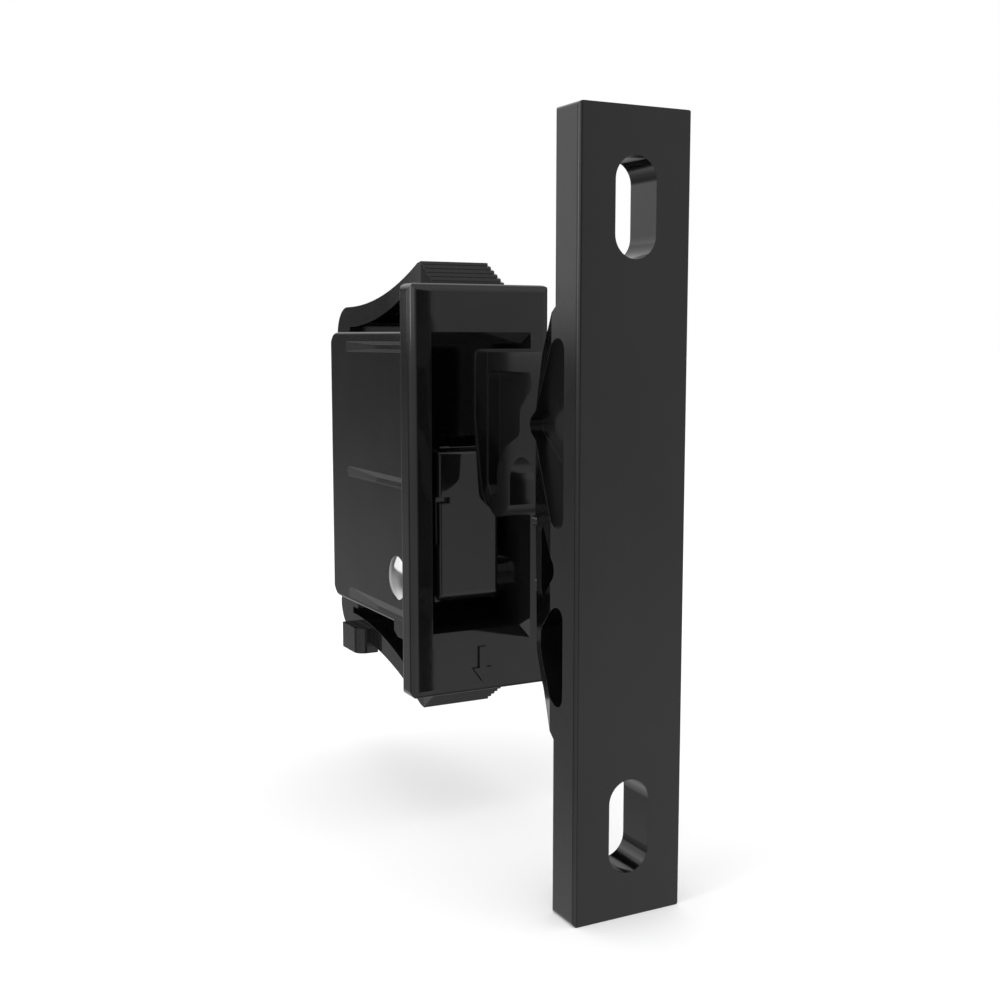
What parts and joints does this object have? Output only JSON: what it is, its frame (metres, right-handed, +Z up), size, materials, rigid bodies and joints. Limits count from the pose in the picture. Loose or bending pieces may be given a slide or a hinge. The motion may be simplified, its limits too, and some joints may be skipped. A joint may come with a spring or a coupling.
{
  "type": "push-to-close latch",
  "caption": "Snap-in push-to-close latch: an over-centre claw in a bezelled housing catches and lets go of a hook keeper on a slotted screw bar",
  "frame": {"origin": "centre of the bezel's rear face, which lies on the panel", "axes": "+X to the latch's right seen from the keeper, +Y rearwards into the panel, +Z up along the keeper's bar"},
  "size_m": [0.0176, 0.065, 0.0762],
  "materials": {
    "black_moulding": "semi-gloss black moulding",
    "claw_moulding": "glossy black moulding",
    "polished_steel": "polished pin end",
    "spring_steel": "drawn spring wire"
  },
  "bodies": {
    "housing": {"housing": "black_moulding", "pivot_pin": "polished_steel"},
    "claw": {"claw": "claw_moulding"},
    "plunger": {"plunger": "claw_moulding", "spring": "spring_steel"},
    "spring_seat": {"spring_seat": "claw_moulding"},
    "keeper": {"keeper": "black_moulding"}
  },
  "joints": [
    {"name": "keeper_travel", "type": "slide", "parent": "housing", "child": "keeper", "axis": [0, 1, 0], "range_m": [-0.015, 0.0073]},
    {"name": "claw_swing", "type": "hinge", "parent": "housing", "child": "claw", "pos_m": [0, 0.00537, -0.01085], "axis": [1, 0, 0], "range_deg": [0, 52]},
    {"name": "plunger_rock", "type": "hinge", "parent": "claw", "child": "plunger", "pos_m": [0, 0.01237, -0.01202], "axis": [1, 0, 0], "range_deg": [-82, 0], "deforming": ["spring"]},
    {"name": "seat_rock", "type": "hinge", "parent": "housing", "child": "spring_seat", "pos_m": [0, 0.0223, -0.0045], "axis": [1, 0, 0], "range_deg": [-29.8, 0]}
  ],
  "couplings": [
    {"joint": "plunger_rock", "follows": "claw_swing", "ratio": -1.569},
    {"joint": "seat_rock", "follows": "claw_swing", "ratio": -0.569}
  ]
}
